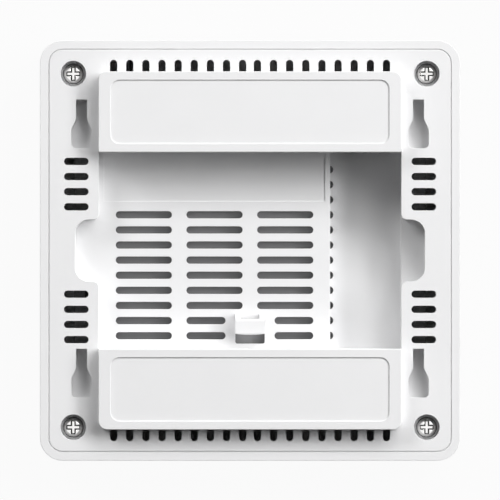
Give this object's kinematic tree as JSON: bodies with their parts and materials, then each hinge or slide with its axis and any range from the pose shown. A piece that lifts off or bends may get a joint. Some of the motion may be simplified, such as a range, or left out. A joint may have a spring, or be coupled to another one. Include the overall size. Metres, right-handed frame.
{
  "type": "ceiling access point",
  "caption": "Square wireless ceiling access point seen by its vented rear cover, with raised standoffs, keyholes, a cable bay with hook and plug well, and a sprung reset button.",
  "frame": {"origin": "middle of the flat front face, which faces the floor in use", "axes": "+Z towards the ceiling, +Y towards the keyholes' narrow ends, ports look along -Y"},
  "size_m": [0.2, 0.2, 0.04],
  "materials": {
    "white_plastic": "moulded white plastic with a fine grain",
    "plated_steel": "nickel-plated steel",
    "clear_plastic": "clear moulded plastic",
    "board": "grey solder mask over glass laminate",
    "bare_aluminium": "dull grey rolled sheet",
    "chip": "moulded chip package",
    "tinned_steel": "tin-plated sheet",
    "pad": "soft filled silicone",
    "black_plastic": "black moulded plastic",
    "contact": "gold-plated contact",
    "ferrite": "sintered ferrite",
    "winding": "taped copper winding",
    "capacitor_can": "sleeved aluminium can",
    "lead": "thin coaxial lead"
  },
  "bodies": {
    "housing": {"front_cover": "white_plastic", "rear_cover": "white_plastic", "cover_screws": "plated_steel", "light_pipe": "clear_plastic", "main_board": "board", "board_screws": "plated_steel", "heat_spreader": "bare_aluminium", "spreader_screws": "plated_steel", "processor": "chip", "memory_chips": "chip", "radio_chips": "chip", "shield_cans": "tinned_steel", "thermal_pads": "pad", "lan_jack_shell": "tinned_steel", "lan_jack_insert": "black_plastic", "lan_jack_contacts": "contact", "lan_transformer": "black_plastic", "dc_jack_housing": "black_plastic", "dc_jack_pin": "plated_steel", "reset_switch": "black_plastic", "poe_core": "ferrite", "poe_winding": "winding", "bulk_capacitors": "capacitor_can", "power_inductors": "ferrite", "status_led": "clear_plastic", "antenna_left": "board", "antenna_right": "board", "antenna_upper": "board", "antenna_lower": "board", "lead_left": "lead", "lead_right": "lead", "lead_upper": "lead", "lead_lower": "lead", "coax_plugs": "contact", "coax_sockets": "contact"},
    "button": {"reset_button": "white_plastic"}
  },
  "joints": [
    {"name": "reset_press", "type": "slide", "parent": "housing", "child": "button", "axis": [0, 1, 0], "range_m": [0, 0.0004], "stiffness_N_per_m": 3000}
  ]
}
